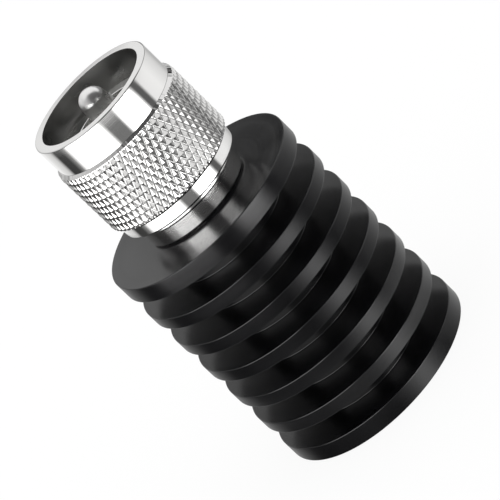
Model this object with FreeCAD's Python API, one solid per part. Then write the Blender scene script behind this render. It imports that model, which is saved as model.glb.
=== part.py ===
import FreeCAD, Part
import math
import os

# Coaxial terminator for a screw-on radio connector, in millimetres.
# It stands on its rear fin: the origin is the centre of that flat face,
# and +Z runs along the turning axis to the mouth of the coupling nut.

# Heat sink, turned from one bar
fin_diameter = 30.0
core_diameter = 18.0
fin_count = 7
rear_fin_thickness = 2.5
fin_thickness = 1.95
front_fin_thickness = 2.6
fin_gap = 3.35
fin_edge_break = 0.12
fin_root_radius = 0.3

# Screw thread of the coupling nut, 5/8 inch by 24 to the inch
thread_major_diameter = 15.875
thread_pitch = 25.4 / 24.0
thread_depth_share = 0.5413
thread_end_depth = 9.8

# Coupling nut
nut_length = 16.85
mouth_flare = 0.26
mouth_wall = 1.3
mouth_edge_break = 0.18
lead_in_length = 4.1
front_band_length = 4.35
front_bevel_length = 0.5
front_bevel_height = 0.6
rear_band_length = 1.85
rear_bevel_length = 0.45
rear_bevel_height = 0.7
rear_edge_break = 0.25
thread_relief_depth = 0.15
thread_relief_length = 1.2
nut_travel = 3.5

# Diamond knurl on the nut
knurl_count = 67
knurl_depth = 0.22
knurl_diamond_length = 2.2
knurl_ledge = 0.05

# Snap ring that keeps the nut on the plug
ring_thickness = 1.0
ring_radial_width = 1.25
ring_setback = 1.6
ring_split = 2.6

# Plug body, turned from one bar
collar_length = 2.5
collar_rear_chamfer = 0.35
lip_length = 0.85
lip_overlap = 0.95
lip_step = 0.325
lip_edge_break = 0.12
shell_recess = 3.6
shell_edge_break = 0.15
shoulder_height = 0.9
neck_wall = 1.0
notch_count = 4
notch_width = 3.4
notch_depth = 1.3
notch_angle = 84.7
spigot_length = 6.0
spigot_seat = 0.55
spigot_end_chamfer = 0.5

# Centre pin with its slotted socket
pin_diameter = 3.95
pin_shank_diameter = 4.6
pin_reach = 1.07
flange_thickness = 1.2
flange_air = 0.25
socket_length = 8.1
socket_depth = 6.0
socket_wall = 0.75
socket_slot_width = 0.5
socket_slot_depth = 4.6

# Insulating beads and the ring that holds them
bead_recess = 5.5
bead_length = 4.2
retainer_thickness = 0.8
retainer_width = 1.0
rear_bead_length = 5.6
rear_bead_wall = 0.65
tail_air = 0.3

# Film resistor on a ceramic rod
rod_diameter = 4.4
resistor_length = 24.2
cap_wall = 0.225
cap_end = 0.4
cap_length = 3.2

# Heat path and earth contact round the resistor
sleeve_diameter = 10.0
sleeve_air = 0.3
cup_height = 6.0
cup_base = 1.6
cup_rim_width = 0.95
cup_slot_width = 0.6
cup_slot_depth = 3.6
disc_spring_thickness = 0.3
disc_spring_rise = 0.3

# Sealing ring under the collar
seal_section = 0.8

# Clearances
running_fit = 0.07
groove_side_clearance = 0.05
shell_clearance = 0.165
screwed_fit = 0.05
push_fit = 0.02
seal_clearance = 0.02

# Diameters that follow from the thread and its clearances
thread_minor_diameter = thread_major_diameter - 2.0 * thread_depth_share * thread_pitch
mouth_diameter = thread_major_diameter + 2.0 * mouth_flare
front_band_diameter = mouth_diameter + 2.0 * mouth_wall
knurl_diameter = front_band_diameter + 2.0 * front_bevel_height
rear_band_diameter = knurl_diameter - 2.0 * rear_bevel_height
shell_diameter = thread_minor_diameter - 2.0 * shell_clearance
neck_diameter = shell_diameter - 2.0 * shoulder_height
shell_bore = neck_diameter - 2.0 * neck_wall
lip_diameter = thread_minor_diameter + 2.0 * lip_overlap
collar_diameter = lip_diameter - 2.0 * lip_step
ring_inner_diameter = neck_diameter + 2.0 * running_fit
ring_outer_diameter = ring_inner_diameter + 2.0 * ring_radial_width
ring_groove_diameter = ring_outer_diameter + 2.0 * running_fit

# Diameters that follow from the resistor
cap_diameter = rod_diameter + 2.0 * push_fit + 2.0 * cap_wall
socket_bore = cap_diameter + 2.0 * push_fit
socket_diameter = socket_bore + 2.0 * socket_wall
seat_bore = socket_diameter + 2.0 * rear_bead_wall
tail_bore = socket_diameter + 2.0 * tail_air
flange_diameter = seat_bore - 2.0 * flange_air
chamber_diameter = sleeve_diameter + 2.0 * push_fit
spigot_diameter = chamber_diameter + 2.0 * spigot_seat
spigot_hole_diameter = spigot_diameter + 2.0 * screwed_fit
seal_groove_diameter = spigot_hole_diameter + 2.0 * (seal_section + seal_clearance)

# Heights above the rear face
sink_top = rear_fin_thickness + (fin_count - 2) * fin_thickness + front_fin_thickness
sink_top = sink_top + (fin_count - 1) * fin_gap
lip_bottom = sink_top + collar_length
nut_rear = lip_bottom + lip_length
nut_mouth = nut_rear + nut_length
shell_front = nut_mouth - shell_recess
ring_bottom = nut_rear + ring_setback
ring_top = ring_bottom + ring_thickness
shoulder_bottom = ring_top + nut_travel
retainer_front = shell_front - bead_recess
bead_front = retainer_front - retainer_thickness
bead_seat = bead_front - bead_length
flange_bottom = bead_seat - flange_thickness
rear_bead_seat = flange_bottom - rear_bead_length
socket_end = flange_bottom - socket_length
socket_floor = socket_end + socket_depth
pin_tip = nut_mouth + pin_reach
spigot_end = sink_top - spigot_length
resistor_top = socket_floor
resistor_bottom = resistor_top - resistor_length
cup_bottom = resistor_bottom - cup_base
cup_top = cup_bottom + cup_height
chamber_floor = cup_bottom - disc_spring_thickness - disc_spring_rise


def turned(outline):
    """Solid of revolution about Z.

    Each entry of the outline is a point (radius, height), or a pair of such
    points for an arc through the first to the second.
    """
    edges = []
    first = outline[0]
    last = first
    for entry in outline[1:] + [first]:
        if isinstance(entry[0], tuple):
            middle, end = entry
            arc = Part.Arc(at(last), at(middle), at(end))
            edges.append(arc.toShape())
            last = end
        elif entry != last:
            edges.append(Part.makeLine(at(last), at(entry)))
            last = entry
    face = Part.Face(Part.Wire(edges))
    return face.revolve(FreeCAD.Vector(0, 0, 0), FreeCAD.Vector(0, 0, 1), 360)


def at(point):
    """Point in the plane of the outline."""
    return FreeCAD.Vector(point[0], 0, point[1])


def tube(outer_diameter, inner_diameter, bottom, top):
    """Plain ring or sleeve with square ends."""
    outer = outer_diameter / 2.0
    inner = inner_diameter / 2.0
    return turned([(inner, bottom), (outer, bottom), (outer, top), (inner, top)])


def slots(count, width, reach, bottom, top, first_angle):
    """Radial saw cuts, each from the axis outwards."""
    cuts = []
    for number in range(count):
        cut = Part.makeBox(reach, width, top - bottom, FreeCAD.Vector(0, -width / 2.0, bottom))
        angle = first_angle + number * 360.0 / count
        cut.rotate(FreeCAD.Vector(0, 0, 0), FreeCAD.Vector(0, 0, 1), angle)
        cuts.append(cut)
    return Part.makeCompound(cuts)


def heat_sink():
    """Seven flat fins on a core, bored from the front for the resistor and the plug."""
    rim = fin_diameter / 2.0
    root = core_diameter / 2.0
    corner = fin_root_radius * (1.0 - math.sqrt(0.5))
    outline = [(0.0, 0.0)]
    bottom = 0.0
    for number in range(fin_count):
        thickness = fin_thickness
        if number == 0:
            thickness = rear_fin_thickness
        if number == fin_count - 1:
            thickness = front_fin_thickness
        top = bottom + thickness
        outline.append((rim - fin_edge_break, bottom))
        outline.append((rim, bottom + fin_edge_break))
        outline.append((rim, top - fin_edge_break))
        outline.append((rim - fin_edge_break, top))
        if number < fin_count - 1:
            next_bottom = top + fin_gap
            outline.append((root + fin_root_radius, top))
            outline.append(((root + corner, top + corner), (root, top + fin_root_radius)))
            outline.append((root, next_bottom - fin_root_radius))
            outline.append(((root + corner, next_bottom - corner), (root + fin_root_radius, next_bottom)))
            bottom = next_bottom
    groove = seal_groove_diameter / 2.0
    groove_floor = sink_top - seal_section - seal_clearance
    outline.append((groove, sink_top))
    outline.append((groove, groove_floor))
    outline.append((spigot_hole_diameter / 2.0, groove_floor))
    outline.append((spigot_hole_diameter / 2.0, spigot_end))
    outline.append((chamber_diameter / 2.0, spigot_end))
    outline.append((chamber_diameter / 2.0, chamber_floor))
    outline.append((0.0, chamber_floor))
    return turned(outline)


def plug_body():
    """Shell, neck, stop lip, collar and screwed spigot in one turned piece."""
    spigot = spigot_diameter / 2.0
    collar = collar_diameter / 2.0
    lip = lip_diameter / 2.0
    shell = shell_diameter / 2.0
    outline = [
        (tail_bore / 2.0, spigot_end),
        (spigot - spigot_end_chamfer, spigot_end),
        (spigot, spigot_end + spigot_end_chamfer),
        (spigot, sink_top),
        (collar - collar_rear_chamfer, sink_top),
        (collar, sink_top + collar_rear_chamfer),
        (collar, lip_bottom),
        (lip - lip_edge_break, lip_bottom),
        (lip, lip_bottom + lip_edge_break),
        (lip, nut_rear - lip_edge_break),
        (lip - lip_edge_break, nut_rear),
        (neck_diameter / 2.0, nut_rear),
        (neck_diameter / 2.0, shoulder_bottom),
        (shell, shoulder_bottom),
        (shell, shell_front - shell_edge_break),
        (shell - shell_edge_break, shell_front),
        (shell_bore / 2.0, shell_front),
        (shell_bore / 2.0, bead_seat),
        (seat_bore / 2.0, bead_seat),
        (seat_bore / 2.0, rear_bead_seat),
        (tail_bore / 2.0, rear_bead_seat),
    ]
    blank = turned(outline)
    notches = slots(
        notch_count,
        notch_width,
        shell_diameter,
        shell_front - notch_depth,
        shell_front + notch_depth,
        notch_angle,
    )
    return blank.cut(notches)


def knurl_point(radius, place, height):
    """Point on the knurl, with two places to each diamond round the nut."""
    angle = place * math.pi / knurl_count
    return FreeCAD.Vector(radius * math.cos(angle), radius * math.sin(angle), height)


def facet(*corners):
    """Flat face through the corners."""
    return Part.Face(Part.makePolygon(list(corners) + [corners[0]]))


def knurl_ledge_face(band_diameter, height):
    """Narrow flat ring from a smooth band out to the many-sided foot of a bevel."""
    foot = band_diameter / 2.0 + knurl_ledge
    corners = [knurl_point(foot, place, height) for place in range(2 * knurl_count + 1)]
    centre = FreeCAD.Vector(0, 0, height)
    circle = Part.Wire([Part.makeCircle(band_diameter / 2.0, centre)])
    return Part.Face(Part.makePolygon(corners)).cut(Part.Face(circle)).Faces[0]


def knurl_faces():
    """Pointed diamonds between two families of slanting grooves, and the bevels at both ends.

    Valley points and crest points alternate like the squares of a chessboard.
    Each cell is folded along the line of its groove, from valley to valley.
    """
    crest = knurl_diameter / 2.0
    valley = crest - knurl_depth
    bottom = nut_rear + rear_band_length + rear_bevel_length
    top = nut_mouth - front_band_length - front_bevel_length
    rows = max(2, round(2.0 * (top - bottom) / knurl_diamond_length))
    step = (top - bottom) / rows

    def node(row, place):
        radius = valley if (row + place) % 2 == 0 else crest
        return knurl_point(radius, place % (2 * knurl_count), bottom + row * step)

    def foot(band_diameter, place, height):
        return knurl_point(band_diameter / 2.0 + knurl_ledge, place % (2 * knurl_count), height)

    faces = []
    for place in range(2 * knurl_count):
        following = place + 1
        for row in range(rows):
            low = node(row, place)
            low_next = node(row, following)
            high = node(row + 1, place)
            high_next = node(row + 1, following)
            if (row + place) % 2 == 0:
                faces.append(facet(low, low_next, high_next))
                faces.append(facet(low, high_next, high))
            else:
                faces.append(facet(low, low_next, high))
                faces.append(facet(low_next, high_next, high))
        rear = nut_rear + rear_band_length
        front = nut_mouth - front_band_length
        rear_foot = foot(rear_band_diameter, place, rear)
        front_foot = foot(front_band_diameter, place, front)
        faces.append(facet(rear_foot, foot(rear_band_diameter, following, rear), node(0, following)))
        faces.append(facet(rear_foot, node(0, following), node(0, place)))
        faces.append(facet(front_foot, foot(front_band_diameter, following, front), node(rows, following)))
        faces.append(facet(front_foot, node(rows, following), node(rows, place)))
    return faces


def coupling_nut():
    """Knurled nut: smooth bands, bevelled knurl, smooth lead-in, thread and ring groove."""
    front = front_band_diameter / 2.0
    rear = rear_band_diameter / 2.0
    bore = thread_minor_diameter / 2.0
    mouth = mouth_diameter / 2.0
    relief = thread_major_diameter / 2.0 + thread_relief_depth
    groove = ring_groove_diameter / 2.0
    groove_bottom = ring_bottom - groove_side_clearance
    groove_top = ring_top + groove_side_clearance
    thread_start = nut_mouth - lead_in_length
    thread_end = nut_mouth - thread_end_depth
    outline = [
        (front, nut_mouth - front_band_length),
        (front, nut_mouth - mouth_edge_break),
        (front - mouth_edge_break, nut_mouth),
        (mouth, nut_mouth),
        (mouth, thread_start),
        (bore, thread_start - (mouth - bore)),
        (bore, thread_end),
        (relief, thread_end),
        (relief, thread_end - thread_relief_length),
        (bore, thread_end - thread_relief_length),
        (bore, groove_top),
        (groove, groove_top),
        (groove, groove_bottom),
        (bore, groove_bottom),
        (bore, nut_rear),
        (rear - rear_edge_break, nut_rear),
        (rear, nut_rear + rear_edge_break),
        (rear, nut_rear + rear_band_length),
    ]
    smooth = Part.makePolygon([at(point) for point in outline])
    smooth = smooth.revolve(FreeCAD.Vector(0, 0, 0), FreeCAD.Vector(0, 0, 1), 360)
    faces = smooth.Faces + knurl_faces()
    faces.append(knurl_ledge_face(rear_band_diameter, nut_rear + rear_band_length))
    faces.append(knurl_ledge_face(front_band_diameter, nut_mouth - front_band_length))
    shell = Part.makeShell(faces)
    shell.sewShape()
    nut = Part.Solid(shell)
    if nut.Volume < 0:
        nut.reverse()
    return nut


def nut_snap_ring():
    """Split ring in the groove of the nut, free on the neck of the plug."""
    ring = tube(ring_outer_diameter, ring_inner_diameter, ring_bottom, ring_top)
    split = slots(1, ring_split, ring_outer_diameter, ring_bottom, ring_top, -notch_angle)
    return ring.cut(split)


def centre_pin():
    """Round-nosed pin, flange and slotted socket in one turned piece."""
    pin = pin_diameter / 2.0
    barrel = socket_diameter / 2.0
    nose = pin_tip - pin
    outline = [
        (0.0, socket_floor),
        (socket_bore / 2.0, socket_floor),
        (socket_bore / 2.0, socket_end),
        (barrel, socket_end),
        (barrel, flange_bottom),
        (flange_diameter / 2.0, flange_bottom),
        (flange_diameter / 2.0, bead_seat),
        (pin_shank_diameter / 2.0, bead_seat),
        (pin_shank_diameter / 2.0, retainer_front),
        (pin, retainer_front),
        (pin, nose),
        ((pin * math.sqrt(0.5), nose + pin * math.sqrt(0.5)), (0.0, pin_tip)),
    ]
    blank = turned(outline)
    cuts = slots(4, socket_slot_width, socket_diameter, socket_end, socket_end + socket_slot_depth, 0.0)
    return blank.cut(cuts)


def front_bead():
    """Insulating bead that carries the pin in the shell."""
    outer = shell_bore - 2.0 * push_fit
    inner = pin_shank_diameter + 2.0 * push_fit
    return tube(outer, inner, bead_seat, bead_front)


def bead_retainer():
    """Thin ring pushed into the shell in front of the bead."""
    outer = shell_bore - 2.0 * push_fit
    inner = outer - 2.0 * retainer_width
    return tube(outer, inner, bead_front, retainer_front)


def rear_bead():
    """Insulating tube round the socket, on the step in the body's bore."""
    outer = seat_bore - 2.0 * push_fit
    inner = socket_diameter + 2.0 * push_fit
    return tube(outer, inner, rear_bead_seat, flange_bottom)


def resistor_rod():
    """Ceramic rod that carries the resistive film."""
    return Part.makeCylinder(
        rod_diameter / 2.0,
        resistor_length - 2.0 * cap_end,
        FreeCAD.Vector(0, 0, resistor_bottom + cap_end),
    )


def resistor_cap(end, inward):
    """Metal cup on one end of the rod; inward is +1 upwards and -1 downwards."""
    outer = cap_diameter / 2.0
    inner = rod_diameter / 2.0 + push_fit
    return turned([
        (0.0, end),
        (outer, end),
        (outer, end + inward * cap_length),
        (inner, end + inward * cap_length),
        (inner, end + inward * cap_end),
        (0.0, end + inward * cap_end),
    ])


def heat_sleeve():
    """Ceramic sleeve that leads the rod's heat into the core."""
    inner = cap_diameter + 2.0 * sleeve_air
    return tube(sleeve_diameter, inner, cup_top, spigot_end)


def earth_cup():
    """Slotted cup that grips the rear cap and earths it to the core."""
    outer = sleeve_diameter / 2.0
    grip = socket_bore / 2.0
    finger = grip + socket_wall
    rim = outer - cup_rim_width
    slot_floor = cup_top - cup_slot_depth
    blank = turned([
        (0.0, cup_bottom),
        (outer, cup_bottom),
        (outer, cup_top),
        (rim, cup_top),
        (rim, slot_floor),
        (finger, slot_floor),
        (finger, cup_top),
        (grip, cup_top),
        (grip, resistor_bottom),
        (0.0, resistor_bottom),
    ])
    cuts = slots(4, cup_slot_width, (finger + rim) / 2.0, slot_floor, cup_top, 45.0)
    return blank.cut(cuts)


def disc_spring():
    """Coned spring washer under the earth cup."""
    outer = sleeve_diameter / 2.0 - running_fit
    inner = sleeve_diameter / 4.0
    low = chamber_floor
    high = chamber_floor + disc_spring_rise
    return turned([
        (outer, low),
        (outer, low + disc_spring_thickness),
        (inner, high + disc_spring_thickness),
        (inner, high),
    ])


def body_seal():
    """Rubber ring between the collar and the heat sink."""
    middle = spigot_diameter / 2.0 + seal_clearance + seal_section / 2.0
    height = sink_top - seal_clearance / 2.0 - seal_section / 2.0
    return Part.makeTorus(middle, seal_section / 2.0, FreeCAD.Vector(0, 0, height))


pieces = {
    "heat_sink": heat_sink(),
    "plug_body": plug_body(),
    "coupling_nut": coupling_nut(),
    "nut_snap_ring": nut_snap_ring(),
    "centre_pin": centre_pin(),
    "front_bead": front_bead(),
    "bead_retainer": bead_retainer(),
    "rear_bead": rear_bead(),
    "resistor_rod": resistor_rod(),
    "front_cap": resistor_cap(resistor_top, -1.0),
    "rear_cap": resistor_cap(resistor_bottom, 1.0),
    "heat_sleeve": heat_sleeve(),
    "earth_cup": earth_cup(),
    "disc_spring": disc_spring(),
    "body_seal": body_seal(),
}

os.makedirs("parts", exist_ok=True)
for name, shape in pieces.items():
    shape.exportStep("parts/" + name + ".step")
    box = shape.BoundBox
    print(name, "solids", len(shape.Solids), "valid", shape.isValid(), "volume", round(shape.Volume, 2),
          "z", round(box.ZMin, 2), round(box.ZMax, 2), "width", round(box.XLength, 2))
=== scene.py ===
# %% [markdown]
# Coaxial terminator
#
# The object is a small air-cooled terminator for a radio line. A knurled nut screws it
# to a socket, a round-nosed pin carries the signal to a resistor, and a black finned
# body gives off the heat. Nearly every piece was turned on a lathe, so nearly every
# mesh here is an outline that is spun round the Z axis, as the lathe did it.
#
# The CAD model comes first and stays fixed: it says where each piece sits and which
# body it moves with. The looks are built around it, in metres, in the same frame.

# %% Load the fixed frame
import math

import bmesh
import bpy
from mathutils import Matrix, Vector


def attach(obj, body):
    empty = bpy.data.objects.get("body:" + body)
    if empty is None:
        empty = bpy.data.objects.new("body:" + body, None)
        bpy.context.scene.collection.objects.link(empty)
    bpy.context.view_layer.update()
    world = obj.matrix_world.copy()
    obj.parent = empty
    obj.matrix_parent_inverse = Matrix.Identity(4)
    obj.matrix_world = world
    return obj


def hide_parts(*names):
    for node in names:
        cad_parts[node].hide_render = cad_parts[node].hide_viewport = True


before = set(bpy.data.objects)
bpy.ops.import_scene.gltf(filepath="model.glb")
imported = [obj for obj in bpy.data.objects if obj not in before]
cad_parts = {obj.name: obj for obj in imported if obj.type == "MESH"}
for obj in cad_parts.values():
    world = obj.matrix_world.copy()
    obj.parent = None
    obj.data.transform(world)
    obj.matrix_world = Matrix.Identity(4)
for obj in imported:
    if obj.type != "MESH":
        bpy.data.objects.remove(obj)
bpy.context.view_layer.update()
print("CAD nodes:", ", ".join(sorted(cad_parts)))

# %% [markdown]
# Lengths on a lathe drawing are in millimetres, and Blender's are in metres, so one
# named factor turns the one into the other. The heights below are measured from the
# flat rear face, on which the object stands.

# %% Lengths that more than one piece needs
MM = 0.001

SPIGOT_END = 28.95
SINK_TOP = 34.95
NUT_REAR = 38.3
BEAD_FRONT = 41.05
SHELL_FRONT = 51.55
NUT_MOUTH = 55.15

BAND_TOP = 40.15
KNURL_BOTTOM = 40.6
KNURL_TOP = 50.3
FRONT_BAND = 50.8
print("nut from", NUT_REAR, "to", NUT_MOUTH, "mm above the rear face")

# %% [markdown]
# A turned piece is one outline spun once round its axis. The outline is a chain of
# points, each with the radius of its corner: no real corner is perfectly sharp, and
# the small roundings are what catch the light as thin bright lines. A vertex bevel
# rounds the corners while the outline is still flat, which is far cheaper than
# bevelling thousands of edges after the spin.

# %% A lathe made of two operators
def outline_mesh(points, steps=3, clamp=True):
    """Outline in the XZ plane from (radius, height, corner) in millimetres.

    It is closed, unless both its ends lie on the axis.
    """
    bm = bmesh.new()
    corners = {}
    verts = []
    for radius, height, corner in points:
        vert = bm.verts.new((radius * MM, 0.0, height * MM))
        verts.append(vert)
        if corner:
            corners.setdefault(corner, []).append(vert)
    for start, end in zip(verts, verts[1:]):
        bm.edges.new((start, end))
    if points[0][0] > 0.0 or points[-1][0] > 0.0:
        bm.edges.new((verts[-1], verts[0]))
    for corner, group in corners.items():
        bmesh.ops.bevel(
            bm, geom=group, offset=corner * MM, offset_type="OFFSET", segments=steps,
            profile=0.5, affect="VERTICES", clamp_overlap=clamp, material=-1)
    return bm


def spin_round(bm, segments):
    """Spin everything once round Z and close the poles."""
    geom = bm.verts[:] + bm.edges[:]
    bmesh.ops.spin(
        bm, geom=geom, cent=(0, 0, 0), axis=(0, 0, 1), dvec=(0, 0, 0),
        angle=math.tau, steps=segments, use_merge=True, use_duplicate=False)
    bmesh.ops.remove_doubles(bm, verts=bm.verts[:], dist=1e-8)
    bmesh.ops.recalc_face_normals(bm, faces=bm.faces[:])


# %% [markdown]
# Smooth shading blends the normals of neighbouring faces, which is right round a
# cylinder and wrong at the foot of a bevel: there the wide flat face would get a false
# gradient. So an edge stays sharp where it turns by more than a few degrees and one of
# its faces is much wider than the other, or where it turns by a great deal.

# %% Shading and finishing of a mesh
def shade(bm, turn=38.0, step=7.0, ratio=2.2):
    """Smooth faces with sharp edges at the feet of bevels and at real corners."""
    for face in bm.faces:
        face.smooth = True
    for edge in bm.edges:
        if len(edge.link_faces) != 2:
            continue
        angle = math.degrees(edge.calc_face_angle(0.0))
        first, second = (face.calc_area() for face in edge.link_faces)
        uneven = max(first, second) > ratio * min(first, second)
        edge.smooth = not (angle > turn or (angle > step and uneven))


def to_object(bm, name):
    """Turn a bmesh into an object of the scene, at the origin."""
    mesh = bpy.data.meshes.new(name)
    bm.to_mesh(mesh)
    bm.free()
    made = bpy.data.objects.new(name, mesh)
    bpy.context.scene.collection.objects.link(made)
    return made


def finish_piece(bm, name, material, body, node):
    """Turn a bmesh into a piece that rides on its body and stands for its CAD node."""
    piece = to_object(bm, name)
    piece.data.materials.append(material)
    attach(piece, body)
    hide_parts(node)
    triangles = sum(len(face.vertices) - 2 for face in piece.data.polygons)
    print(name, "has", len(piece.data.polygons), "faces,", triangles, "as triangles")


# %% [markdown]
# Every metal here carries the same traces of its making: very fine rings left by the
# turning tool, a cloudy unevenness of the plating, and edges rubbed a little brighter.
# Each trace is a node group, built once and placed in each material with its own
# values. A few helpers keep the node trees short: they add one node, feed its inputs
# and give back its output.

# %% Small helpers for node trees
def feed(tree, socket, operand):
    """Set a socket from a number, a colour or another node's output."""
    if isinstance(operand, tuple):
        socket.default_value = (*operand, 1.0)
    elif isinstance(operand, (int, float)):
        socket.default_value = operand
    else:
        tree.links.new(operand, socket)


def add_math(tree, operation, first, second=None, clamp=False):
    """Math node; each operand is a number or an output socket."""
    node = tree.nodes.new("ShaderNodeMath")
    node.operation = operation
    node.use_clamp = clamp
    feed(tree, node.inputs[0], first)
    if second is not None:
        feed(tree, node.inputs[1], second)
    return node.outputs[0]


def add_range(tree, value, old, new=(0.0, 1.0), smooth=False):
    """Map a value from one range to another, and stop at the range's ends."""
    node = tree.nodes.new("ShaderNodeMapRange")
    if smooth:
        node.interpolation_type = "SMOOTHSTEP"
    labels = "Value", "From Min", "From Max", "To Min", "To Max"
    for label, operand in zip(labels, (value, *old, *new)):
        feed(tree, node.inputs[label], operand)
    return node.outputs[0]


def add_noise(tree, vector, scale, detail=2.0, roughness=0.5):
    """Noise texture read at a vector; gives its plain factor."""
    node = tree.nodes.new("ShaderNodeTexNoise")
    feed(tree, node.inputs["Scale"], scale)
    node.inputs["Detail"].default_value = detail
    node.inputs["Roughness"].default_value = roughness
    tree.links.new(vector, node.inputs["Vector"])
    return node.outputs["Fac"]


def mix_colours(tree, share, first, second):
    """Mix two colours; each is a colour or an output socket."""
    node = tree.nodes.new("ShaderNodeMix")
    node.data_type = "RGBA"
    feed(tree, node.inputs[0], share)
    feed(tree, node.inputs[6], first)
    feed(tree, node.inputs[7], second)
    return node.outputs[2]


# %% [markdown]
# The groups follow from the place on the piece, in the piece's own coordinates. Two
# measures are needed again and again: the distance from the axis and the height.

# %% Helpers for node groups
def new_group(name, inputs, output_labels):
    """Shader node group; gives its tree, its input values and its output sockets."""
    group = bpy.data.node_groups.new(name, "ShaderNodeTree")
    for label, value in inputs.items():
        kind = "NodeSocketVector" if value is None else "NodeSocketFloat"
        socket = group.interface.new_socket(name=label, in_out="INPUT", socket_type=kind)
        if value is not None:
            socket.default_value = value
    for label in output_labels:
        group.interface.new_socket(name=label, in_out="OUTPUT", socket_type="NodeSocketFloat")
    start = group.nodes.new("NodeGroupInput")
    end = group.nodes.new("NodeGroupOutput")
    return group, start.outputs, end.inputs


def place_group(tree, group, values):
    """Group node with its inputs fed; gives its outputs."""
    node = tree.nodes.new("ShaderNodeGroup")
    node.node_tree = group
    for label, value in values.items():
        feed(tree, node.inputs[label], value)
    return node.outputs


def axis_distance(tree, position):
    """Distance of a point from the Z axis, and its height."""
    split = tree.nodes.new("ShaderNodeSeparateXYZ")
    tree.links.new(position, split.inputs[0])
    across = add_math(tree, "MULTIPLY", split.outputs[0], split.outputs[0])
    along = add_math(tree, "MULTIPLY", split.outputs[1], split.outputs[1])
    radius = add_math(tree, "SQRT", add_math(tree, "ADD", across, along))
    return radius, split.outputs[2]


# %% [markdown]
# A turning tool leaves fine rings. They could be drawn as waves, but real ones are
# uneven, so a noise is read at nothing but the distance from the axis and the height.
# It runs round a cylinder and forms circles on a flat face, as real rings do. A second,
# much coarser noise gives the broader streaks between polished and less polished zones.

# %% The node group for turning rings
COARSENESS = 0.17


def make_turning_rings():
    group, given, made = new_group(
        "turning_rings", {"Position": None, "Lines per metre": 8000.0}, ["Height", "Streaks"])
    radius, height = axis_distance(group, given["Position"])
    join = group.nodes.new("ShaderNodeCombineXYZ")
    group.links.new(radius, join.inputs[0])
    group.links.new(height, join.inputs[1])
    scaled = group.nodes.new("ShaderNodeVectorMath")
    scaled.operation = "SCALE"
    group.links.new(join.outputs[0], scaled.inputs[0])
    group.links.new(given["Lines per metre"], scaled.inputs["Scale"])
    fine = add_noise(group, scaled.outputs[0], 1.0, detail=3.0, roughness=0.65)
    coarse = add_noise(group, scaled.outputs[0], COARSENESS)
    group.links.new(fine, made["Height"])
    group.links.new(coarse, made["Streaks"])
    return group


turning_rings = make_turning_rings()
print("group", turning_rings.name, "puts out a height and a broader streak pattern")

# %% [markdown]
# Plating and anodising are never equally smooth all over, and hands leave soft marks. A
# cloudy noise, spread between a low and a high value, gives the roughness that change.

# %% The node group for cloudy plating and handling marks
USUAL_NOISE = 0.3, 0.7


def make_clouds():
    group, given, made = new_group(
        "clouds", {"Position": None, "Scale": 300.0, "Low": 0.1, "High": 0.2}, ["Value"])
    noise = add_noise(group, given["Position"], given["Scale"], detail=4.0)
    value = add_range(group, noise, USUAL_NOISE, (given["Low"], given["High"]))
    group.links.new(value, made["Value"])
    return group


clouds = make_clouds()
print("group", clouds.name, "spreads a value between its low and its high")

# %% [markdown]
# Edges get rubbed first. A mask could come from the curvature of the surface, but that
# changes with the density of the mesh. So the mask reads the normal: only a rounded or
# bevelled edge leans between upright and level. Small spots keep the rubbing uneven.

# %% The node group for rubbed edges
EDGE_LEAN = 0.6
EDGE_NARROWNESS = 2.8
SPOTS_PER_METRE = 900.0


def make_rubbed_edges():
    group, given, made = new_group("rubbed_edges", {"Normal": None, "Position": None}, ["Mask"])
    split = group.nodes.new("ShaderNodeSeparateXYZ")
    group.links.new(given["Normal"], split.inputs[0])
    lean = add_math(group, "ABSOLUTE", split.outputs[2])
    away = add_math(group, "ABSOLUTE", add_math(group, "SUBTRACT", lean, EDGE_LEAN))
    fade = add_math(group, "MULTIPLY", away, EDGE_NARROWNESS)
    edge = add_math(group, "SUBTRACT", 1.0, fade, clamp=True)
    spots = add_noise(group, given["Position"], SPOTS_PER_METRE, detail=3.0, roughness=0.6)
    worn = add_math(group, "MULTIPLY", edge, add_math(group, "ADD", spots, 0.3, clamp=True))
    group.links.new(worn, made["Mask"])
    return group


rubbed_edges = make_rubbed_edges()
print("group", rubbed_edges.name, "marks slanting edge breaks only")

# %% [markdown]
# The bore of the nut is not polished like its outside, and it lies in shade. The group
# marks what lies within the bore's radius. The finish makes that part rougher, for the
# duller plating, and darker, as painted shade in the recess. It could be a second
# material, but then every face of the mouth would need a choice between the two.

# %% The node group for the dull inside of the nut and its painted shade
BORE_EDGE = 8.22


def make_dull_shaded_bore():
    group, given, made = new_group("dull_shaded_bore", {"Position": None}, ["Mask"])
    radius, height = axis_distance(group, given["Position"])
    # Painted shade: everything inside the bore's radius is marked to be darker and rougher.
    inner = add_math(group, "LESS_THAN", radius, BORE_EDGE * MM)
    group.links.new(inner, made["Mask"])
    return group


dull_shaded_bore = make_dull_shaded_bore()
print("group", dull_shaded_bore.name, "marks what lies inside", BORE_EDGE, "mm")

# %% [markdown]
# Shade falls into the bottoms of the knurl's grooves, so the finish paints them darker,
# as painted shade, and makes their plating rougher. This shows as thin dark lines between
# bright diamonds. The knurl is a lattice of 67 diamonds round the nut, each 2.2 mm high,
# that starts from one pit. The same four numbers will later sink the grooves into the
# mesh, so the painted shade lies exactly in them. Ping-pong gives the distance to the
# nearest groove of each of the two families, in diamonds.

# %% The node group for painted shade in the bottoms of the knurl's grooves
KNURLS = 67
DIAMOND = 2.2
PIT_HEIGHT = 39.8
PIT_ANGLE = 3.62 - 90.0
KNURL_FOOT = 9.62
DARK_WIDTHS = 0.03, 0.12


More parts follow.
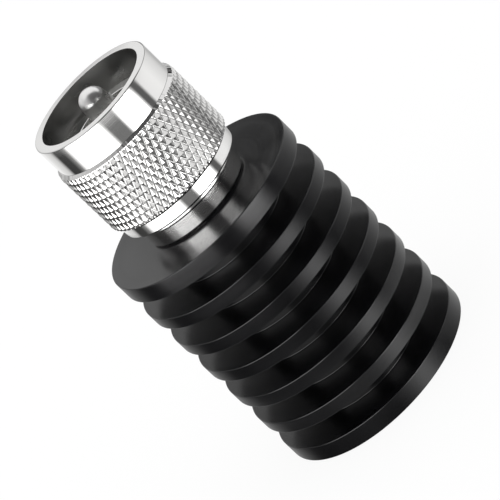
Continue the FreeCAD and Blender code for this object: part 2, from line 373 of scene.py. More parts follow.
def make_painted_groove_shade():
    group, given, made = new_group("painted_groove_shade", {"Position": None}, ["Mask"])
    split = group.nodes.new("ShaderNodeSeparateXYZ")
    group.links.new(given["Position"], split.inputs[0])
    angle = add_math(group, "ARCTAN2", split.outputs[1], split.outputs[0])
    turned = add_math(group, "SUBTRACT", angle, math.radians(PIT_ANGLE))
    around = add_math(group, "MULTIPLY", turned, KNURLS / math.tau)
    raised = add_math(group, "SUBTRACT", split.outputs[2], PIT_HEIGHT * MM)
    along = add_math(group, "DIVIDE", raised, DIAMOND * MM)
    falling = add_math(group, "PINGPONG", add_math(group, "ADD", around, along), 0.5)
    rising = add_math(group, "PINGPONG", add_math(group, "SUBTRACT", around, along), 0.5)
    nearer = add_math(group, "MINIMUM", falling, rising)
    # Painted shade: a thin dark line along the bottom of each groove.
    line = add_range(group, nearer, DARK_WIDTHS, (1.0, 0.0), smooth=True)
    radius, height = axis_distance(group, given["Position"])
    outside = add_math(group, "GREATER_THAN", radius, KNURL_FOOT * MM)
    below = add_math(group, "LESS_THAN", height, KNURL_TOP * MM)
    knurled = add_math(group, "MULTIPLY", outside, below)
    group.links.new(add_math(group, "MULTIPLY", line, knurled), made["Mask"])
    return group


painted_groove_shade = make_painted_groove_shade()
print("group", painted_groove_shade.name, "follows the lattice of", KNURLS, "diamonds")

# %% [markdown]
# A finish is one Principled shader. What is the same all over, such as metallic, sits on
# the shader's own sockets. What varies over the surface comes from the groups: colour
# between a plain and an edge tone, roughness from the clouds, painted shade and rougher
# zones from the masks, and the normal from a bump that reads the turning rings.

# %% A helper that builds one finish
def finish(name, colour, edge_colour, low, high, metallic=0.0, ior=1.5, rings=9000.0,
           ring_depth=0.0, cloud_scale=250.0, streak=0.0, shaded_and_dulled=()):
    """Procedural finish for turned metal, plastic, ceramic or rubber."""
    material = bpy.data.materials.new(name)
    material.use_nodes = True
    tree = material.node_tree
    shader = tree.nodes["Principled BSDF"]
    shader.inputs["Metallic"].default_value = metallic
    shader.inputs["IOR"].default_value = ior
    place = tree.nodes.new("ShaderNodeTexCoord").outputs

    cloud = place_group(tree, clouds, {
        "Position": place["Object"], "Scale": cloud_scale, "Low": low, "High": high})
    lines = place_group(tree, turning_rings, {
        "Position": place["Object"], "Lines per metre": rings})
    edges = place_group(tree, rubbed_edges, {
        "Position": place["Object"], "Normal": place["Normal"]})

    centred = add_math(tree, "SUBTRACT", lines["Streaks"], 0.5)
    streaks = add_math(tree, "MULTIPLY", centred, streak)
    rough = add_math(tree, "ADD", cloud["Value"], streaks, clamp=True)
    tone = mix_colours(tree, edges["Mask"], colour, edge_colour)
    # Each mask paints shade into the colour and adds roughness.
    for group, shade_colour, rougher in shaded_and_dulled:
        mask = place_group(tree, group, {"Position": place["Object"]})["Mask"]
        tone = mix_colours(tree, mask, tone, shade_colour)
        added = add_math(tree, "MULTIPLY", mask, rougher)
        rough = add_math(tree, "ADD", rough, added, clamp=True)
    tree.links.new(tone, shader.inputs["Base Color"])
    tree.links.new(rough, shader.inputs["Roughness"])

    if ring_depth:
        bump = tree.nodes.new("ShaderNodeBump")
        bump.inputs["Strength"].default_value = 1.0
        bump.inputs["Distance"].default_value = ring_depth
        tree.links.new(lines["Height"], bump.inputs["Height"])
        tree.links.new(bump.outputs["Normal"], shader.inputs["Normal"])
    return material


# %% [markdown]
# Four finishes are seen: bright nickel on the collar and the shell ring, the same nickel
# on the nut with painted shade in its dull bore and its grooves, black anodised aluminium,
# and a softer silver on the pin. The other five belong to the pieces inside. The rings
# are about a thousandth of a millimetre deep, which is enough to blur a mirror image
# along them.

# %% The finishes of this object
NICKEL = (0.80, 0.795, 0.785)
RUBBED_NICKEL = (0.86, 0.855, 0.85)

nickel_bright = finish(
    "nickel_bright", NICKEL, RUBBED_NICKEL, 0.07, 0.12,
    metallic=1.0, ring_depth=1.2e-6, streak=0.05)
# The nut's bore and the bottoms of its grooves get painted shade and rougher plating.
nut_nickel = finish(
    "nut_nickel", NICKEL, RUBBED_NICKEL, 0.05, 0.09,
    metallic=1.0, ring_depth=1.2e-6, streak=0.05,
    shaded_and_dulled=((dull_shaded_bore, (0.5, 0.5, 0.49), 0.22), (painted_groove_shade, (0.2, 0.2, 0.198), 0.25)))
black_anodise = finish(
    "black_anodise", (0.0035, 0.0035, 0.0043), (0.01, 0.01, 0.011), 0.18, 0.225,
    rings=7000.0, ring_depth=1.5e-6, cloud_scale=160.0, streak=0.1)
pin_silver = finish(
    "pin_silver", (0.9, 0.895, 0.885), (0.93, 0.925, 0.92), 0.27, 0.34,
    metallic=1.0, ring_depth=0.8e-6)
spring_steel = finish(
    "spring_steel", (0.42, 0.415, 0.41), (0.55, 0.55, 0.54), 0.2, 0.32,
    metallic=1.0, rings=12000.0, ring_depth=2.0e-6)
white_plastic = finish(
    "white_plastic", (0.83, 0.83, 0.81), (0.87, 0.87, 0.86), 0.42, 0.55,
    ior=1.36, rings=6000.0, ring_depth=2.0e-6)
turned_brass = finish(
    "turned_brass", (0.72, 0.52, 0.24), (0.82, 0.63, 0.34), 0.18, 0.28,
    metallic=1.0, ring_depth=1.5e-6)
white_ceramic = finish(
    "white_ceramic", (0.78, 0.77, 0.73), (0.82, 0.81, 0.78), 0.5, 0.68, ior=1.6)
black_rubber = finish(
    "black_rubber", (0.014, 0.014, 0.014), (0.025, 0.025, 0.025), 0.5, 0.65, ior=1.45)
print("finishes:", ", ".join(sorted(m.name for m in bpy.data.materials)))

# %% [markdown]
# The heat sink is one bar of aluminium with six deep grooves, which leave seven flat
# fins, and it is black anodised. Its outline goes up the fins from the rear face, then
# down the bore that takes the resistor. The edges have a tiny break and the roots of
# the grooves a small round, as the tool leaves them.

# %% Heat sink
FIN_COUNT = 7
FIN_RIM = 15.0
FIN_ROOT = 9.0
FIN_THICKNESS = 1.95
REAR_FIN_THICKNESS = 2.5
FIN_GAP = 3.35
EDGE_BREAK = 0.11
ROOT_ROUND = 0.1

fins = [(0.0, REAR_FIN_THICKNESS)]
while len(fins) < FIN_COUNT - 1:
    bottom = fins[-1][1] + FIN_GAP
    fins.append((bottom, bottom + FIN_THICKNESS))
fins.append((fins[-1][1] + FIN_GAP, SINK_TOP))

sink_outline = [(0.0, 0.0, 0.0)]
for number, (bottom, top) in enumerate(fins):
    sink_outline.append((FIN_RIM, bottom, EDGE_BREAK))
    sink_outline.append((FIN_RIM, top, EDGE_BREAK))
    if number < FIN_COUNT - 1:
        sink_outline.append((FIN_ROOT, top, ROOT_ROUND))
        sink_outline.append((FIN_ROOT, fins[number + 1][0], ROOT_ROUND))
sink_outline += [
    (6.49, SINK_TOP, 0.0),      # seat of the rubber seal
    (6.49, 34.13, 0.0),
    (5.67, 34.13, 0.0),         # bore for the plug body's spigot
    (5.67, SPIGOT_END, 0.0),
    (5.02, SPIGOT_END, 0.0),    # bore for the resistor in its sleeve
    (5.02, 7.8, 0.0),
    (0.0, 7.8, 0.0),
]
bm = outline_mesh(sink_outline)
spin_round(bm, segments=256)
shade(bm)
finish_piece(bm, "turned_heat_sink", black_anodise, "load", "heat_sink")
print("tops of the fins:", [round(top, 2) for bottom, top in fins])

# %% [markdown]
# The plug body is the fixed metal part: a polished collar on the heat sink, a thin lip
# that the nut rests against, a neck hidden in the nut, and the shell ring that shows
# in the nut's mouth. The round in the corner of the neck and its shoulder is smaller
# than the snap ring's clearance, so the ring can slide right up to the shoulder.

# %% Plug body
SHELL_RADIUS = 7.199
SHELL_BORE = 5.299
NECK_RADIUS = 6.3
SHOULDER = 44.4

plug_outline = [
    (4.245, SPIGOT_END, 0.0),
    (5.07, SPIGOT_END, 0.0),
    (5.57, 29.45, 0.0),
    (5.57, SINK_TOP, 0.0),
    (7.64, SINK_TOP, 0.0),      # collar
    (7.99, 35.3, 0.08),
    (7.99, 37.45, 0.05),
    (8.31, 37.45, 0.3),         # lip under the nut
    (8.31, NUT_REAR, 0.2),
    (NECK_RADIUS, NUT_REAR, 0.0),
    (NECK_RADIUS, SHOULDER, 0.05),
    (SHELL_RADIUS, SHOULDER, 0.1),
    (SHELL_RADIUS, SHELL_FRONT, 0.14),
    (SHELL_BORE, SHELL_FRONT, 0.12),
    (SHELL_BORE, BEAD_FRONT, 0.0),
    (4.595, BEAD_FRONT, 0.0),   # bore for the insulating beads
    (4.595, 34.25, 0.0),
    (4.245, 34.25, 0.0),
]
bm = outline_mesh(plug_outline)
spin_round(bm, segments=224)
print("plug outline has", len(plug_outline), "corners and gives", len(bm.faces), "faces")

# %% [markdown]
# Four notches let the key of the socket in. On the real plug a small saw cuts them.
# Here four blocks stand in the ring's wall, one to each quarter, and a boolean takes
# their shape away, because the notches run straight through the wall. It needs
# objects, so both meshes become objects for a moment.

# %% Cut the four notches
NOTCH_WIDTH = 3.4
NOTCH_DEPTH = 1.3
NOTCH_ANGLE = 84.7
BLOCK_LENGTH = 6.0
BLOCK_PLACE = 7.0

cutter = bmesh.new()
for quarter in range(4):
    block = bmesh.ops.create_cube(cutter, size=1.0)["verts"]
    size = Vector((BLOCK_LENGTH, NOTCH_WIDTH, 2.0 * NOTCH_DEPTH)) * MM
    bmesh.ops.scale(cutter, vec=size, verts=block)
    bmesh.ops.translate(cutter, vec=Vector((BLOCK_PLACE, 0.0, SHELL_FRONT)) * MM, verts=block)
    turn = Matrix.Rotation(math.radians(NOTCH_ANGLE + 90.0 * quarter), 3, "Z")
    bmesh.ops.rotate(cutter, cent=(0, 0, 0), matrix=turn, verts=block)
blocks = to_object(cutter, "notch_blocks")
blank = to_object(bm, "plug_blank")
cut = blank.modifiers.new("notches", "BOOLEAN")
cut.operation = "DIFFERENCE"
cut.solver = "EXACT"
cut.object = blocks
bpy.context.view_layer.update()
ready = blank.evaluated_get(bpy.context.evaluated_depsgraph_get())
bm = bmesh.new()
bm.from_mesh(ready.to_mesh())
ready.to_mesh_clear()
for spare in (blank, blocks):
    bpy.data.objects.remove(spare)
bmesh.ops.remove_doubles(bm, verts=bm.verts[:], dist=1e-7)
shade(bm)
finish_piece(bm, "turned_plug_body", nickel_bright, "load", "plug_body")

# %% [markdown]
# The coupling nut carries the diamond knurl, which on the real nut is rolled or cut as
# two families of slanting grooves, and a thread of 24 turns to the inch in its bore.
# Both are made by moving the points of a plain spun blank, so the blank needs points in
# the right places. It has six steps to a diamond, and a diamond has six rows, so every
# groove line runs exactly through the corners of the grid.

# %% Sizes of the knurl and the thread
CREST = 10.0975
REAR_BEVEL_FOOT = 9.4475
FRONT_BEVEL_FOOT = 9.5475
STEPS_PER_DIAMOND = 6
ROW = DIAMOND / STEPS_PER_DIAMOND
FIRST_ROW, LAST_ROW = 2, 29

MOUTH = 8.1975
MAJOR = 7.9375
MINOR = 7.3645
PITCH = 25.4 / 24.0
THREAD_ROW = PITCH / 8.0
LEAD_IN_END = NUT_MOUTH - 4.1
THREAD_START = LEAD_IN_END - (MOUTH - MINOR)
THREAD_END = NUT_MOUTH - 9.8


def blank_radius(height):
    """Radius of the nut before the knurl is cut, with a bevel at both ends."""
    rear_share = (height - BAND_TOP) / (KNURL_BOTTOM - BAND_TOP)
    front_share = (FRONT_BAND - height) / (FRONT_BAND - KNURL_TOP)
    rear_bevel = REAR_BEVEL_FOOT + (CREST - REAR_BEVEL_FOOT) * rear_share
    front_bevel = FRONT_BEVEL_FOOT + (CREST - FRONT_BEVEL_FOOT) * front_share
    return min(CREST, rear_bevel, front_bevel)


width = round(math.tau * CREST / KNURLS, 2)
print("one diamond is", width, "mm wide and", DIAMOND, "mm high")

# %% [markdown]
# The outline starts at the nut's rear edge, climbs its outside and comes back through
# the bore: the smooth lead-in, the thread, a relief behind it and the groove for the
# snap ring. The blank is then turned so that one column of points stands on a pit.

# %% Outline of the nut
REAR_BAND = 9.3975
FRONT_BAND_RADIUS = 9.4975
RELIEF_RADIUS = 8.0875
RELIEF_END = THREAD_END - 1.2
RING_GROOVE_RADIUS = 7.6895
RING_GROOVE = 39.85, 40.95

nut_outline = [
    (REAR_BAND - 0.25, NUT_REAR, 0.04),
    (REAR_BAND, NUT_REAR + 0.25, 0.04),
    (REAR_BAND, BAND_TOP, 0.0),
]
knurl_heights = [PIT_HEIGHT + row * ROW for row in range(FIRST_ROW, LAST_ROW + 1)]
knurl_heights += [BAND_TOP, KNURL_BOTTOM, KNURL_TOP, FRONT_BAND]
for height in sorted(knurl_heights):
    nut_outline.append((blank_radius(height), height, 0.0))
nut_outline += [
    (FRONT_BAND_RADIUS, FRONT_BAND, 0.0),
    (FRONT_BAND_RADIUS, NUT_MOUTH, 0.16),
    (MOUTH, NUT_MOUTH, 0.06),
    (MOUTH, LEAD_IN_END, 0.0),
]
for row in range(int((THREAD_START - THREAD_END) / THREAD_ROW) + 1):
    nut_outline.append((MINOR, THREAD_START - row * THREAD_ROW, 0.0))
nut_outline += [
    (MINOR, THREAD_END, 0.0),
    (RELIEF_RADIUS, THREAD_END, 0.0),
    (RELIEF_RADIUS, RELIEF_END, 0.0),
    (MINOR, RELIEF_END, 0.0),
    (MINOR, RING_GROOVE[1], 0.0),
    (RING_GROOVE_RADIUS, RING_GROOVE[1], 0.0),
    (RING_GROOVE_RADIUS, RING_GROOVE[0], 0.0),
    (MINOR, RING_GROOVE[0], 0.0),
    (MINOR, NUT_REAR, 0.1),
]
bm = outline_mesh(nut_outline)
spin_round(bm, segments=STEPS_PER_DIAMOND * KNURLS)
first_pit = Matrix.Rotation(math.radians(PIT_ANGLE), 3, "Z")
bmesh.ops.rotate(bm, cent=(0, 0, 0), matrix=first_pit, verts=bm.verts[:])
print("nut blank has", len(bm.faces), "faces")

# %% [markdown]
# Each point of the knurl sinks towards the axis by its distance from the nearest
# groove. That gives diamonds with soft sides and few faces, where hundreds of separate
# pyramids would need many more. The depth is a blend of a straight slope, which makes
# facets, and a wave, which rounds the valleys as plating does.

# %% Sink the grooves of the knurl
VALLEY_DEPTH = 0.22
STRAIGHT_PART = 0.55


def lattice(point):
    """Place of a point in diamonds round the nut and in diamonds along it."""
    angle = math.atan2(point.y, point.x) - math.radians(PIT_ANGLE)
    return angle * KNURLS / math.tau, (point.z / MM - PIT_HEIGHT) / DIAMOND


def to_groove(value):
    """Distance to the nearest whole number."""
    return abs(value - round(value))


def groove_depth(distance):
    """Share of the full depth at a distance from the middle of a groove."""
    straight = 1.0 - 2.0 * distance
    wavy = 0.5 + 0.5 * math.cos(math.tau * distance)
    return STRAIGHT_PART * straight + (1.0 - STRAIGHT_PART) * wavy


def set_radius(vert, radius, wanted):
    """Move a point straight towards or away from the axis, from one radius to another."""
    vert.co.x *= wanted / radius
    vert.co.y *= wanted / radius


knurl_verts = set()
for vert in bm.verts:
    height = vert.co.z / MM
    radius = math.hypot(vert.co.x, vert.co.y) / MM
    if radius > KNURL_FOOT and BAND_TOP < height < FRONT_BAND:
        around, along = lattice(vert.co)
        share = max(
            groove_depth(to_groove(around + along)), groove_depth(to_groove(around - along)))
        set_radius(vert, radius, min(radius, CREST - VALLEY_DEPTH * share))
        knurl_verts.add(vert)
print("knurl moved", len(knurl_verts), "points")

# %% [markdown]
# A four-cornered face that a groove crosses from corner to corner has to be folded along
# that groove, or Blender may fold it the other way. So each face of the knurl is split
# along the direction of its nearer groove.

# %% Fold the faces along the grooves
FOLD_MARGIN = 0.3


def split_face(face):
    """Split one quad along the direction of the nearer family of grooves."""
    centre = face.calc_center_median()
    around, along = lattice(centre)
    here = math.atan2(centre.y, centre.x)
    low = min(vert.co.z for vert in face.verts)

    def corner(right, upper):
        for vert in face.verts:
            turn = math.atan2(vert.co.y, vert.co.x) - here
            if (math.sin(turn) > 0.0) == right and (vert.co.z > low + 1e-6) == upper:
                return vert

    if to_groove(around - along) < to_groove(around + along):
        ends = corner(False, False), corner(True, True)
    else:
        ends = corner(True, False), corner(False, True)
    bmesh.utils.face_split(face, *ends)


knurl_faces = [
    face for face in bm.faces
    if len(face.verts) == 4
    and all(vert in knurl_verts for vert in face.verts)
    and BAND_TOP + FOLD_MARGIN < face.calc_center_median().z / MM < FRONT_BAND - FOLD_MARGIN]
for face in knurl_faces:
    split_face(face)
print("folded", len(knurl_faces), "faces of the knurl")

# %% [markdown]
# The thread inside is made the same way: the bore has eight rows to a turn, and each
# point moves outwards by where it lies on the slanting line of the thread. A screw
# modifier could wind the thread too, but then it would have to be joined to the bore.

# %% Cut the thread in the bore
FLANK_SLOPE = 1.3
CREST_FLAT = 0.2
THREAD_MARGIN = 0.05


def thread_share(point):
    """Depth share of the thread at a point of the bore, from 0 at the crest to 1."""
    turn = math.atan2(point.y, point.x) / math.tau
    phase = (point.z / MM / PITCH - turn) % 1.0
    wave = 1.0 - abs(2.0 * phase - 1.0)
    return min(1.0, max(0.0, FLANK_SLOPE * wave - CREST_FLAT))


moved = 0
for vert in bm.verts:
    height = vert.co.z / MM
    radius = math.hypot(vert.co.x, vert.co.y) / MM
    if radius < MAJOR and THREAD_END + THREAD_MARGIN < height < THREAD_START - THREAD_MARGIN:
        deep = MINOR + (MAJOR - MINOR) * thread_share(vert.co)
        set_radius(vert, radius, max(radius, deep))
        moved += 1
print("thread moved", moved, "points")

# %% [markdown]
# On a real knurl the ridges between two diamonds are crisp and the valleys soft. So the
# level and the upright ridges are marked sharp, as are the edges at the two bevels, and
# the grooves stay smooth.

# %% Shade the nut
RIDGE_TOLERANCE = 0.02
LEVEL_TOLERANCE = 0.01
COLUMN_TOLERANCE = 0.1


def on_ridge(first, second):
    """True where both ends of an edge lie on a half step of the lattice."""
    return max(to_groove(2.0 * first), to_groove(2.0 * second)) < RIDGE_TOLERANCE


shade(bm)
for edge in bm.edges:
    first, second = edge.verts
    if first in knurl_verts and second in knurl_verts:
        here, there = lattice(first.co), lattice(second.co)
        heights = first.co.z / MM, second.co.z / MM
        at_rear = max(heights) < KNURL_BOTTOM + LEVEL_TOLERANCE
        at_front = min(heights) > KNURL_TOP - LEVEL_TOLERANCE
        level = abs(heights[0] - heights[1]) < LEVEL_TOLERANCE
        upright = abs(here[0] - there[0]) < COLUMN_TOLERANCE
        level_ridge = level and (on_ridge(here[1], there[1]) or at_rear or at_front)
        edge.smooth = not (level_ridge or (upright and on_ridge(here[0], there[0])))
finish_piece(bm, "knurled_nut", nut_nickel, "nut", "coupling_nut")

# %% [markdown]
# The centre pin has a flange in the beads, a plain shank and a nose like a ball. The
# nose is the last corner of the outline with a rounding nearly as large as the pin's
# radius, so the same vertex bevel makes it, only with more steps.

# %% Centre pin
PIN_RADIUS = 1.975
PIN_TIP = 56.22
NOSE_ROUND = 1.974

pin_outline = [
    (0.0, 33.75, 0.0),
    (2.465, 33.75, 0.0),
    (2.465, 31.75, 0.0),
    (3.215, 31.75, 0.0),
    (3.215, 39.85, 0.0),
    (4.345, 39.85, 0.0),        # flange
    (4.345, BEAD_FRONT, 0.0),
    (2.3, BEAD_FRONT, 0.0),
    (2.3, 46.05, 0.0),
    (PIN_RADIUS, 46.05, 0.0),
    (PIN_RADIUS, PIN_TIP, NOSE_ROUND),
    (0.0, PIN_TIP, 0.0),
]
bm = outline_mesh(pin_outline, steps=18, clamp=False)
spin_round(bm, segments=96)
shade(bm)
finish_piece(bm, "round_nose_pin", pin_silver, "load", "centre_pin")

# %% [markdown]
# The pieces inside keep their CAD meshes, which are right as they are, and get finishes
# of their own: spring steel, white plastic, brass, ceramic and rubber.

# %% Finishes for the carried-over CAD nodes
inside = {
    "nut_snap_ring": spring_steel,
    "disc_spring": spring_steel,
    "front_bead": white_plastic,
    "rear_bead": white_plastic,
    "bead_retainer": nickel_bright,
    "front_cap": turned_brass,
    "rear_cap": turned_brass,
    "earth_cup": turned_brass,
    "resistor_rod": white_ceramic,
    "heat_sleeve": white_ceramic,
    "body_seal": black_rubber,
}
for name, material in inside.items():
    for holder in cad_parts[name].material_slots:
        holder.material = material
print("dressed", len(inside), "inner pieces")

# %% [markdown]
# Bright metal shows its surroundings, so the surroundings are half of the picture. The
# part stands in a round light tent that only mirror reflections can see. Its wall, its
# lid and a ring at its foot glow, each with a brightness that depends on the angle round
# the part. A photo of a studio could do the same, but no image is read here, and a ramp
# over the angle is easy to change. A ramp is meant for values up to about 1, and a panel
# may be ten times as bright as white, so its values are tenths and the strength is ten.

# %% Helpers for the light tent
PANEL_STRENGTH = 10.0


def angle_ramp(tree, turn, stops):
    """Brightness over the angle in degrees, 0 at the camera and + to its right."""
    ramp = tree.nodes.new("ShaderNodeValToRGB")
    tree.links.new(turn, ramp.inputs[0])
    elements = ramp.color_ramp.elements
    while len(elements) > 1:
        elements.remove(elements[0])
    for number, (angle, value) in enumerate(stops):
        place = (angle + 180.0) / 360.0
        element = elements[0] if number == 0 else elements.new(place)
        element.position = place
        share = value / PANEL_STRENGTH
        element.color = (share, share, share, 1.0)
    return ramp.outputs[0]


def panel_light(name, brightness):
    """Glowing material; brightness builds its colour from the turn and the place."""
    material = bpy.data.materials.new(name)
    material.use_nodes = True
    tree = material.node_tree
    tree.nodes.clear()
    place = tree.nodes.new("ShaderNodeTexCoord")
    split = tree.nodes.new("ShaderNodeSeparateXYZ")
    tree.links.new(place.outputs["Object"], split.inputs[0])
    away = add_math(tree, "MULTIPLY", split.outputs[1], -1.0)
    angle = add_math(tree, "ARCTAN2", split.outputs[0], away)
    turn = add_math(tree, "ADD", add_math(tree, "DIVIDE", angle, math.tau), 0.5)
    glow = tree.nodes.new("ShaderNodeEmission")
    glow.inputs["Strength"].default_value = PANEL_STRENGTH
    tree.links.new(brightness(tree, turn, split.outputs), glow.inputs["Color"])
    out = tree.nodes.new("ShaderNodeOutputMaterial")
    tree.links.new(glow.outputs[0], out.inputs["Surface"])
    return material


def hang_in_studio(bm, name, material):
    """Make a card of the tent: only mirror reflections see it."""
    card = to_object(bm, name)
    card.data.materials.append(material)
    card.visible_camera = False
    card.visible_diffuse = False
    card.visible_shadow = False
    card.visible_transmission = False
    card.visible_volume_scatter = False


# %% [markdown]
# The wall is a stack of rings, because each part of the object mirrors another height
# of it. The rims of the fins mirror its foot, the nut's bands the part above that, the
# knurl's facets its middle, and the collar and the front fin's face its upper part.
# Most rings have two broad pale panels, left and right of the camera, with dark gaps
# between them and a dim rear. Each row is (start, full, stops): the ring begins to show
# at the first height in millimetres, and from the second on it hides the one below it.

# %% Brightness of the tent's wall
FOOT = [
    (-180, 0.5), (-150, 0.5), (-125, 0.3), (-110, 0.06), (-92, 0.05), (-75, 0.1),
    (-50, 0.14), (-38, 0.2), (-18, 0.1), (-5, 0.06), (5, 0.3), (10, 0.5), (18, 1.1),
    (28, 2.0), (37, 1.9), (47, 0.85), (57, 0.3), (68, 0.12), (76, 0.25), (100, 0.5),
    (120, 0.6), (180, 0.5)]
FRONT_FIN_RING = [
    (-180, 0.5), (-150, 0.5), (-125, 0.3), (-110, 0.06), (-92, 0.04), (-75, 0.05),
    (-50, 0.06), (-38, 0.09), (-18, 0.05), (-5, 0.03), (5, 0.12), (10, 0.2), (18, 0.45),
    (28, 0.8), (37, 0.75), (47, 0.35), (57, 0.12), (68, 0.1), (76, 0.2), (100, 0.4),
    (120, 0.5), (180, 0.5)]
BANDS_RING = [
    (-180, 0.9), (-150, 1.0), (-125, 0.75), (-119, 0.4), (-115, 0.05), (-99, 0.06),
    (-91, 0.3), (-84, 1.5), (-80, 3.5), (-22, 3.5), (-18, 1.0), (-14, 0.2), (6, 0.2),
    (9, 1.0), (12, 4.0), (18, 7.5), (38, 7.5), (46, 4.0), (51, 1.0), (55, 0.12),
    (64, 0.12), (69, 1.0), (95, 1.05), (130, 0.8), (150, 0.5), (180, 0.7)]
KNURL_RING = [
    (-180, 0.45), (-135, 0.5), (-110, 0.4), (-90, 0.6), (-78, 3.5), (-24, 3.5),
    (-19, 0.9), (4, 0.9), (12, 0.8), (24, 0.5), (34, 0.22), (60, 0.12), (72, 0.8),
    (100, 0.95), (150, 0.6), (180, 0.5)]
COLLAR_RING = [
    (-180, 0.25), (-176, 0.6), (-170, 0.8), (-150, 0.7), (-120, 0.3), (-110, 0.02),
    (-90, 0.02), (-70, 2.0), (-62, 11.0), (-25, 11.0), (-17, 1.0), (-10, 0.02),
    (10, 0.02), (18, 4.6), (35, 5.0), (48, 0.4), (56, 0.05), (80, 0.3), (120, 0.2),
    (165, 0.1), (172, 0.1), (180, 0.15)]
FACE_RING = [
    (-180, 0.05), (-176, 0.5), (-170, 0.7), (-150, 0.6), (-120, 0.2), (-110, 0.02),
    (-90, 0.02), (-70, 0.5), (-60, 0.8), (-30, 0.8), (-20, 0.2), (-12, 0.01), (20, 0.01),
    (60, 0.02), (80, 0.05), (120, 0.05), (165, 0.02), (180, 0.02)]
OVERHEAD = [
    (-180, 0.93), (-110, 0.65), (-60, 0.45), (-32, 0.3), (-16, 0.1), (85, 0.08),
    (97, 0.9), (180, 0.93)]
RINGS_ABOVE_FOOT = [
    (3.0, 6.0, FRONT_FIN_RING),
    (10.1, 11.0, BANDS_RING),
    (29.5, 32.5, KNURL_RING),
    (56.0, 60.0, COLLAR_RING),
    (62.4, 63.8, FACE_RING),
    (74.0, 80.0, OVERHEAD),
]
print("the wall has", len(RINGS_ABOVE_FOOT) + 1, "rings")

# %% [markdown]
# The wall itself is an open cone with two equal radii, which is the bmesh operator's way
# to make a tube.

# %% Wall of the tent
TENT_RADIUS = 0.08
TENT_HEIGHT = 0.22
TENT_MIDDLE = 0.05


def wall_brightness(tree, turn, place):
    light = angle_ramp(tree, turn, FOOT)
    for start, full, stops in RINGS_ABOVE_FOOT:
        share = add_range(tree, place[2], (start * MM, full * MM), smooth=True)
        light = mix_colours(tree, share, light, angle_ramp(tree, turn, stops))
    return light


bm = bmesh.new()
bmesh.ops.create_cone(
    bm, cap_ends=False, segments=128, radius1=TENT_RADIUS, radius2=TENT_RADIUS,
    depth=TENT_HEIGHT)
bmesh.ops.translate(bm, vec=(0, 0, TENT_MIDDLE), verts=bm.verts[:])
hang_in_studio(bm, "light_tent", panel_light("tent_light", wall_brightness))
print("tent radius", TENT_RADIUS, "m")

# %% [markdown]
# The tent has a lid. Its half towards the camera is dark, because the camera and the
# dark room are there, and its rear half is pale, which the rounded nose of the pin shows.

# %% Lid of the tent
LID_HEIGHT = TENT_MIDDLE + TENT_HEIGHT / 2.0
PALE_FROM, PALE_TO = -0.015, -0.003
PALENESS = 0.9


def lid_brightness(tree, turn, place):
    rear = add_range(tree, place[1], (PALE_FROM, PALE_TO), (0.0, PALENESS / PANEL_STRENGTH))
    return add_math(tree, "MAXIMUM", rear, angle_ramp(tree, turn, OVERHEAD))


bm = bmesh.new()
bmesh.ops.create_circle(bm, cap_ends=True, segments=128, radius=TENT_RADIUS)
bmesh.ops.translate(bm, vec=(0, 0, LID_HEIGHT), verts=bm.verts[:])
hang_in_studio(bm, "tent_lid", panel_light("lid_light", lid_brightness))
print("lid at", round(LID_HEIGHT / MM), "mm")

# %% [markdown]
# Steep facets of the knurl look down past the fins onto the pale table. A flat ring near
# the foot of the tent stands for it, far enough out that the rims of the fins miss it.

# %% Table ring of the tent
TABLE_HEIGHT = -0.02
TABLE_EDGES = 0.07, 0.0799
TABLE_STOPS = [
    (-180, 0.35), (-60, 0.35), (-30, 0.8), (0, 1.2), (30, 2.2), (75, 2.2), (100, 1.1),
    (180, 0.5)]


def table_brightness(tree, turn, place):
    return angle_ramp(tree, turn, TABLE_STOPS)


bm = bmesh.new()
bm.edges.new([bm.verts.new((radius, 0, TABLE_HEIGHT)) for radius in TABLE_EDGES])
spin_round(bm, segments=128)
hang_in_studio(bm, "table_ring", panel_light("table_light", table_brightness))
print("table ring at", round(TABLE_HEIGHT / MM), "mm")

# %% [markdown]
# The floor is pale and plain. To the camera it is nearly as bright as the white
# background, and a share of ordinary diffuse paint keeps a faint contact shadow. Mirror
# reflections leave it out, because the tent gives them what they show.

# %% Floor
FLOOR_GLOW = 1.04
GLOW_SHARE = 0.85
FLOOR_HALF_WIDTH = 3.0
FLOOR_HEIGHT = -0.00002

floor_paint = bpy.data.materials.new("floor_paint")
floor_paint.use_nodes = True
tree = floor_paint.node_tree
shader = tree.nodes["Principled BSDF"]
shader.inputs["Base Color"].default_value = (0.8, 0.8, 0.8, 1.0)
shader.inputs["Roughness"].default_value = 0.9
shader.inputs["Specular IOR Level"].default_value = 0.0
glow = tree.nodes.new("ShaderNodeEmission")
glow.inputs["Strength"].default_value = FLOOR_GLOW
path = tree.nodes.new("ShaderNodeLightPath")
mix = tree.nodes.new("ShaderNodeMixShader")
share = add_math(tree, "MULTIPLY", path.outputs["Is Camera Ray"], GLOW_SHARE)
tree.links.new(share, mix.inputs[0])
tree.links.new(shader.outputs[0], mix.inputs[1])
tree.links.new(glow.outputs[0], mix.inputs[2])
tree.links.new(mix.outputs[0], tree.nodes["Material Output"].inputs["Surface"])

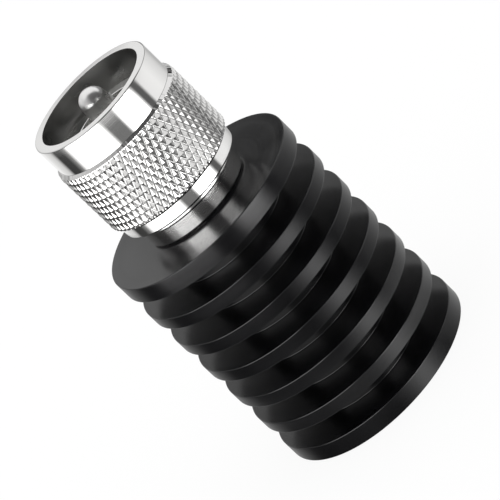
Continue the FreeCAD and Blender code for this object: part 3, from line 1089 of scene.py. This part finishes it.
bm = bmesh.new()
bmesh.ops.create_grid(bm, x_segments=1, y_segments=1, size=FLOOR_HALF_WIDTH)
floor = to_object(bm, "floor")
floor.data.materials.append(floor_paint)
floor.location.z = FLOOR_HEIGHT
floor.visible_glossy = False
print("floor at", FLOOR_HEIGHT, "m")

# %% [markdown]
# A white world of strength 1 lights the part softly from all sides, and is the white
# background. Mirror reflections that leave the tent see it dimmer.

# %% World light
MIRRORED_STRENGTH = 0.4

world = bpy.data.worlds.new("studio")
bpy.context.scene.world = world
world.use_nodes = True
tree = world.node_tree
background = tree.nodes["Background"]
background.inputs["Color"].default_value = (1.0, 1.0, 1.0, 1.0)
path = tree.nodes.new("ShaderNodeLightPath")
dimmed = add_math(tree, "MULTIPLY", path.outputs["Is Glossy Ray"], MIRRORED_STRENGTH - 1.0)
tree.links.new(add_math(tree, "ADD", dimmed, 1.0), background.inputs["Strength"])
print("world", world.name, "has strength 1")

# %% [markdown]
# The camera looks along +Y and down by 21.7 degrees. The photograph is turned so that
# the object lies on the diagonal, so the camera is rolled by 46 degrees. The long lens
# keeps the weak perspective of the photograph.

# %% Camera
ELEVATION = math.radians(21.7256)
ROLL = math.radians(-46.03)
AIM = Vector((0.1633, 0.0, 24.8495)) * MM
DISTANCE = 454.4 * MM
LENS, SENSOR = 252.0, 36.0

forward = Vector((0.0, math.cos(ELEVATION), -math.sin(ELEVATION)))
level = Vector((1.0, 0.0, 0.0))
upright = level.cross(forward)
right = level * math.cos(ROLL) + upright * math.sin(ROLL)
up = upright * math.cos(ROLL) - level * math.sin(ROLL)
camera_data = bpy.data.cameras.new("photo_camera")
camera_data.lens = LENS
camera_data.sensor_width = SENSOR
camera_data.clip_start = 0.01
camera_data.clip_end = 20.0
camera = bpy.data.objects.new("photo_camera", camera_data)
bpy.context.scene.collection.objects.link(camera)
turned = Matrix((right, up, -forward)).transposed()
camera.matrix_world = Matrix.Translation(AIM - forward * DISTANCE) @ turned.to_4x4()
bpy.context.scene.camera = camera
bpy.context.scene.view_settings.view_transform = "Standard"
print("camera at", [round(value / MM, 2) for value in camera.matrix_world.translation])
